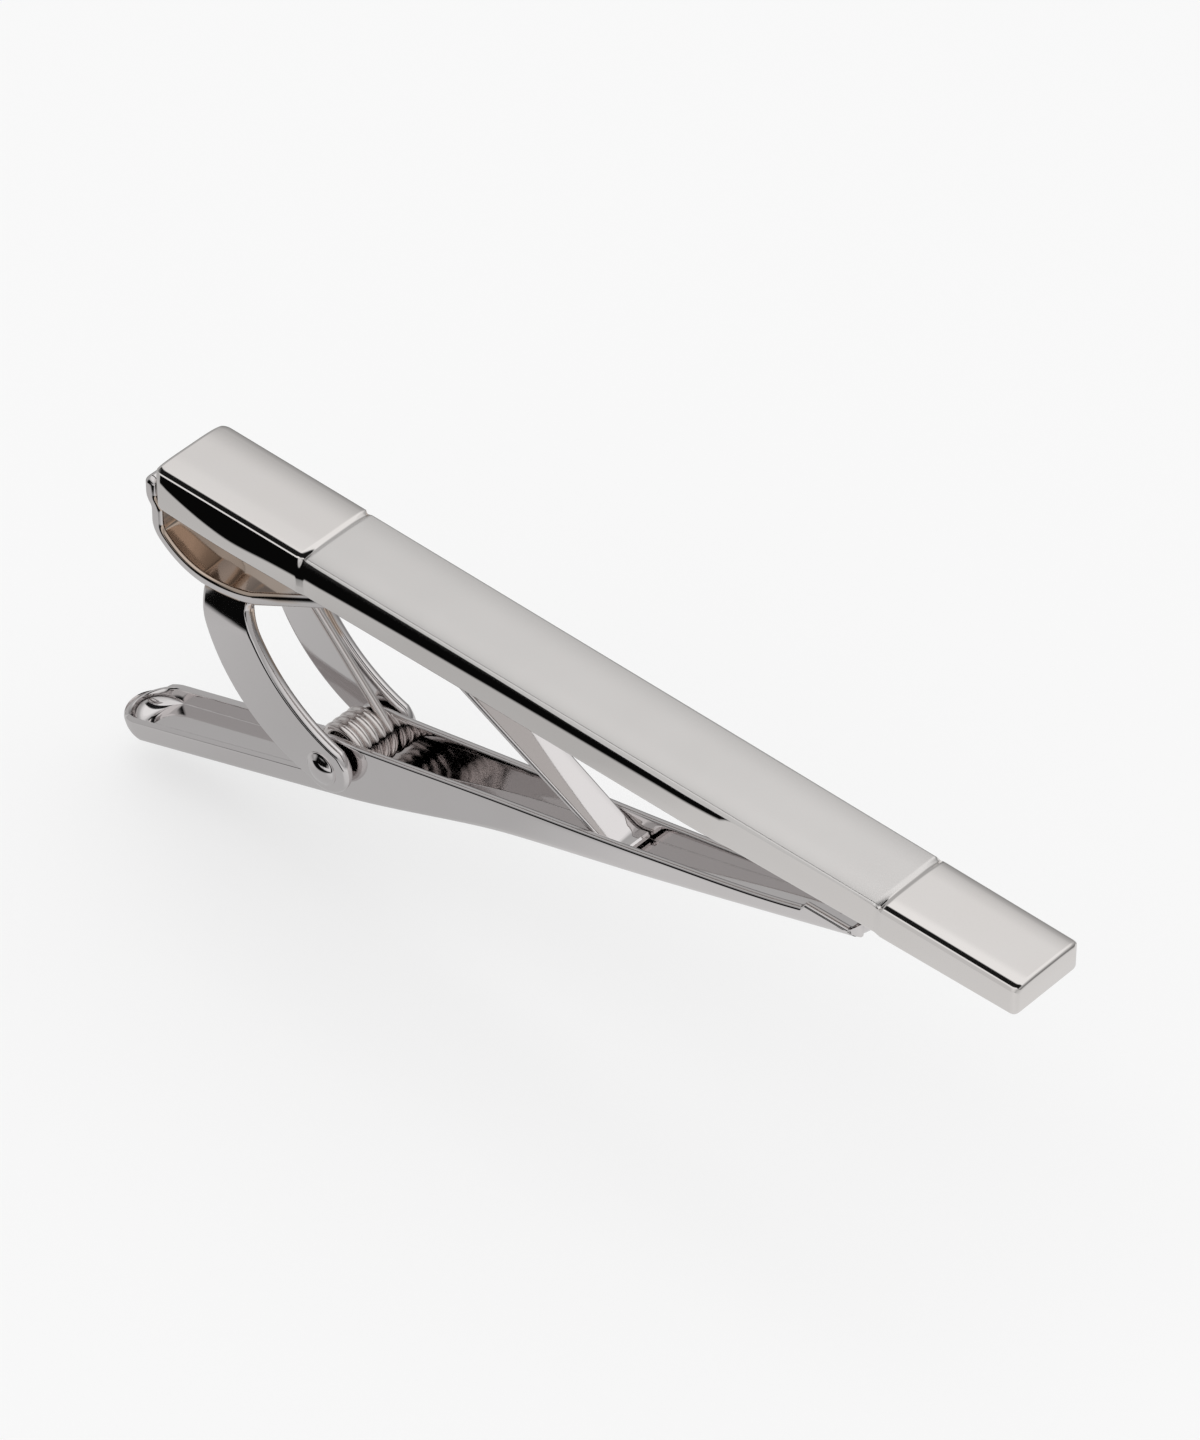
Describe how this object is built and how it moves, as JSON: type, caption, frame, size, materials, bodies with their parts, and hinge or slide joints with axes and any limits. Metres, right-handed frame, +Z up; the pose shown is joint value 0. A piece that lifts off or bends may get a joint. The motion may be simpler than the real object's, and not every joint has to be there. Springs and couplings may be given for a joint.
{
  "type": "tie clip",
  "caption": "Polished metal tie clip: a slim solid front bar with two fine cross grooves, and a sprung channel jaw behind it on a riveted bracket.",
  "frame": {"origin": "the point under the front bar's middle line where the closed jaw's nose meets the bar and grips the tie", "axes": "+X along the bar from its hinged end to its free tip, +Y across the clip, +Z up out of the bar's front face"},
  "size_m": [0.0651, 0.0066, 0.0221],
  "materials": {
    "bar_plate": "mirror-polished white metal plating",
    "solder": "dull plated solder",
    "bracket_plate": "bright plated pressed sheet",
    "jaw_plate": "bright plated pressed sheet",
    "rivet_plate": "bright plated rivet",
    "spring_wire": "bright drawn spring wire"
  },
  "bodies": {
    "clip_body": {"front_bar": "bar_plate", "solder": "solder", "bracket": "bracket_plate", "hinge_rivet": "rivet_plate", "torsion_spring": "spring_wire"},
    "jaw": {"lower_jaw": "jaw_plate"}
  },
  "joints": [
    {"name": "jaw_pivot", "type": "hinge", "parent": "clip_body", "child": "jaw", "pos_m": [-0.03494, 0, -0.01183], "axis": [0, 1, 0], "range_deg": [0, 30], "stiffness_Nm_per_rad": 0.03, "springref_deg": -80.21, "deforming": ["torsion_spring"]}
  ]
}
